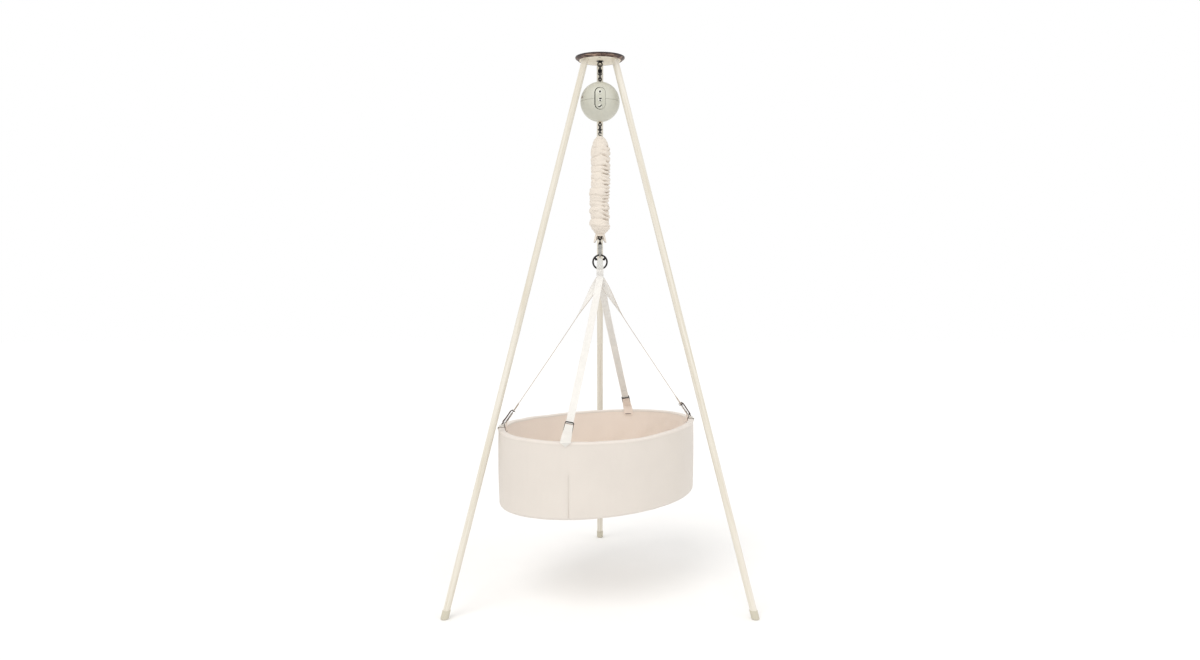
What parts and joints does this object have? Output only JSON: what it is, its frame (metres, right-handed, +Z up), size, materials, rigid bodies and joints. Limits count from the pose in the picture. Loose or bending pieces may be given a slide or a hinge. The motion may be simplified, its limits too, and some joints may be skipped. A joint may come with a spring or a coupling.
{
  "type": "baby spring cradle",
  "caption": "Oval cloth baby basket hung by webbing from a swivel, a coil spring and a ball-shaped bouncing drive under a wooden tripod stand.",
  "frame": {"origin": "on the floor, under the middle of the whole object's box", "axes": "+Z up, along the suspension; -Y towards the side with the control panel; +X to the right seen from there; the rear foot is at +Y"},
  "size_m": [1.0064, 0.9104, 1.8],
  "materials": {
    "board_green": "circuit board green",
    "brass": "satin",
    "bright_steel": "bright satin steel",
    "button_plastic": "white",
    "cream_wood": "satin pale wood",
    "dark_steel": "dark satin steel",
    "inner_plastic": "dark",
    "lining_cloth": "plain weave",
    "mattress_cloth": "soft cotton",
    "outer_cloth": "plain weave",
    "panel_plastic": "semi-gloss off-white",
    "plywood": "raw plywood",
    "rubber": "matt cream",
    "shell_plastic": "matt off-white",
    "sleeve_cloth": "thin gathered cloth",
    "walnut": "satin stained walnut",
    "webbing": "woven webbing"
  },
  "bodies": {
    "stand": {"disc_screw_1": "bright_steel", "disc_screw_2": "bright_steel", "disc_screw_3": "bright_steel", "eye_bolt": "bright_steel", "eye_nut": "bright_steel", "foot_front_left": "rubber", "foot_front_right": "rubber", "foot_rear": "rubber", "hub_plate": "cream_wood", "leg_bolt_front_left": "bright_steel", "leg_bolt_front_right": "bright_steel", "leg_bolt_rear": "bright_steel", "leg_front_left": "cream_wood", "leg_front_right": "cream_wood", "leg_rear": "cream_wood", "top_disc": "walnut"},
    "upper_hook": {"upper_carabiner": "dark_steel"},
    "upper_gate": {"upper_gate": "dark_steel"},
    "drive": {"upper_shell": "shell_plastic", "lower_shell": "shell_plastic", "control_panel": "panel_plastic", "circuit_board": "board_green", "power_socket": "brass", "chassis": "inner_plastic", "hanger_eye": "dark_steel", "hanger_nut": "bright_steel", "guide_bush": "brass", "gear_motor": "bright_steel"},
    "power_button": {"power_button": "button_plastic"},
    "speed_button": {"speed_button": "button_plastic"},
    "timer_button": {"timer_button": "button_plastic"},
    "pinion": {"drive_pinion": "brass"},
    "rod": {"pull_rod": "dark_steel", "lower_carabiner": "dark_steel", "spring": "bright_steel", "spring_sleeve": "sleeve_cloth"},
    "lower_gate": {"lower_gate": "dark_steel"},
    "swivel_top": {"oval_link": "dark_steel", "swivel_eye": "dark_steel"},
    "snap_gate": {"snap_gate": "bright_steel"},
    "cradle": {"base_board": "plywood", "basket_lining": "lining_cloth", "basket_wall": "outer_cloth", "buckle_front": "dark_steel", "buckle_left": "dark_steel", "buckle_rear": "dark_steel", "buckle_right": "dark_steel", "cradle_ring": "dark_steel", "mattress": "mattress_cloth", "rim_binding": "outer_cloth", "rim_hoop": "bright_steel", "snap_hook": "bright_steel", "strap_front_rear": "webbing", "strap_left_right": "webbing", "tab_front": "webbing", "tab_left": "webbing", "tab_rear": "webbing", "tab_right": "webbing"}
  },
  "joints": [
    {"name": "fore_swing", "type": "hinge", "parent": "stand", "child": "upper_hook", "pos_m": [0, -0.12442, 1.7692], "axis": [1, 0, 0], "range_deg": [-2.5, 2.5]},
    {"name": "side_swing", "type": "hinge", "parent": "upper_hook", "child": "drive", "pos_m": [0, -0.12442, 1.72885], "axis": [0, -1, 0], "range_deg": [-0.8, 4]},
    {"name": "upper_gate_opens", "type": "hinge", "parent": "upper_hook", "child": "upper_gate", "pos_m": [0, -0.13342, 1.74335], "axis": [-1, 0, 0], "range_deg": [0, 20], "stiffness_Nm_per_rad": 0.05},
    {"name": "rod_lowers", "type": "slide", "parent": "drive", "child": "rod", "axis": [0, 0, -1], "range_m": [0, 0.02]},
    {"name": "pinion_turns", "type": "hinge", "parent": "drive", "child": "pinion", "pos_m": [0.01, -0.12442, 1.654], "axis": [0, -1, 0], "range_deg": [0, 163.7]},
    {"name": "power_button_press", "type": "slide", "parent": "drive", "child": "power_button", "axis": [0, 1, 0], "range_m": [0, 0.0012], "stiffness_N_per_m": 900},
    {"name": "speed_button_press", "type": "slide", "parent": "drive", "child": "speed_button", "axis": [0, 1, 0], "range_m": [0, 0.0012], "stiffness_N_per_m": 900},
    {"name": "timer_button_press", "type": "slide", "parent": "drive", "child": "timer_button", "axis": [0, 1, 0], "range_m": [0, 0.0012], "stiffness_N_per_m": 900},
    {"name": "lower_gate_opens", "type": "hinge", "parent": "rod", "child": "lower_gate", "pos_m": [0, -0.13142, 1.5623], "axis": [-1, 0, 0], "range_deg": [0, 20], "stiffness_Nm_per_rad": 0.03},
    {"name": "bounce", "type": "slide", "parent": "rod", "child": "swivel_top", "axis": [0, 0, 1], "range_m": [-0.1, 0.03], "stiffness_N_per_m": 600, "springref_m": 0.13208, "deforming": ["spring", "spring_sleeve"]},
    {"name": "swivel", "type": "hinge", "parent": "swivel_top", "child": "cradle", "pos_m": [0, -0.12442, 1.18125], "axis": [0, 0, 1], "continuous": true},
    {"name": "snap_gate_opens", "type": "hinge", "parent": "cradle", "child": "snap_gate", "pos_m": [0, -0.13122, 1.16845], "axis": [1, 0, 0], "range_deg": [0, 20], "stiffness_Nm_per_rad": 0.03}
  ],
  "couplings": [
    {"joint": "pinion_turns", "follows": "rod_lowers", "rad_per_m": 142.86}
  ]
}
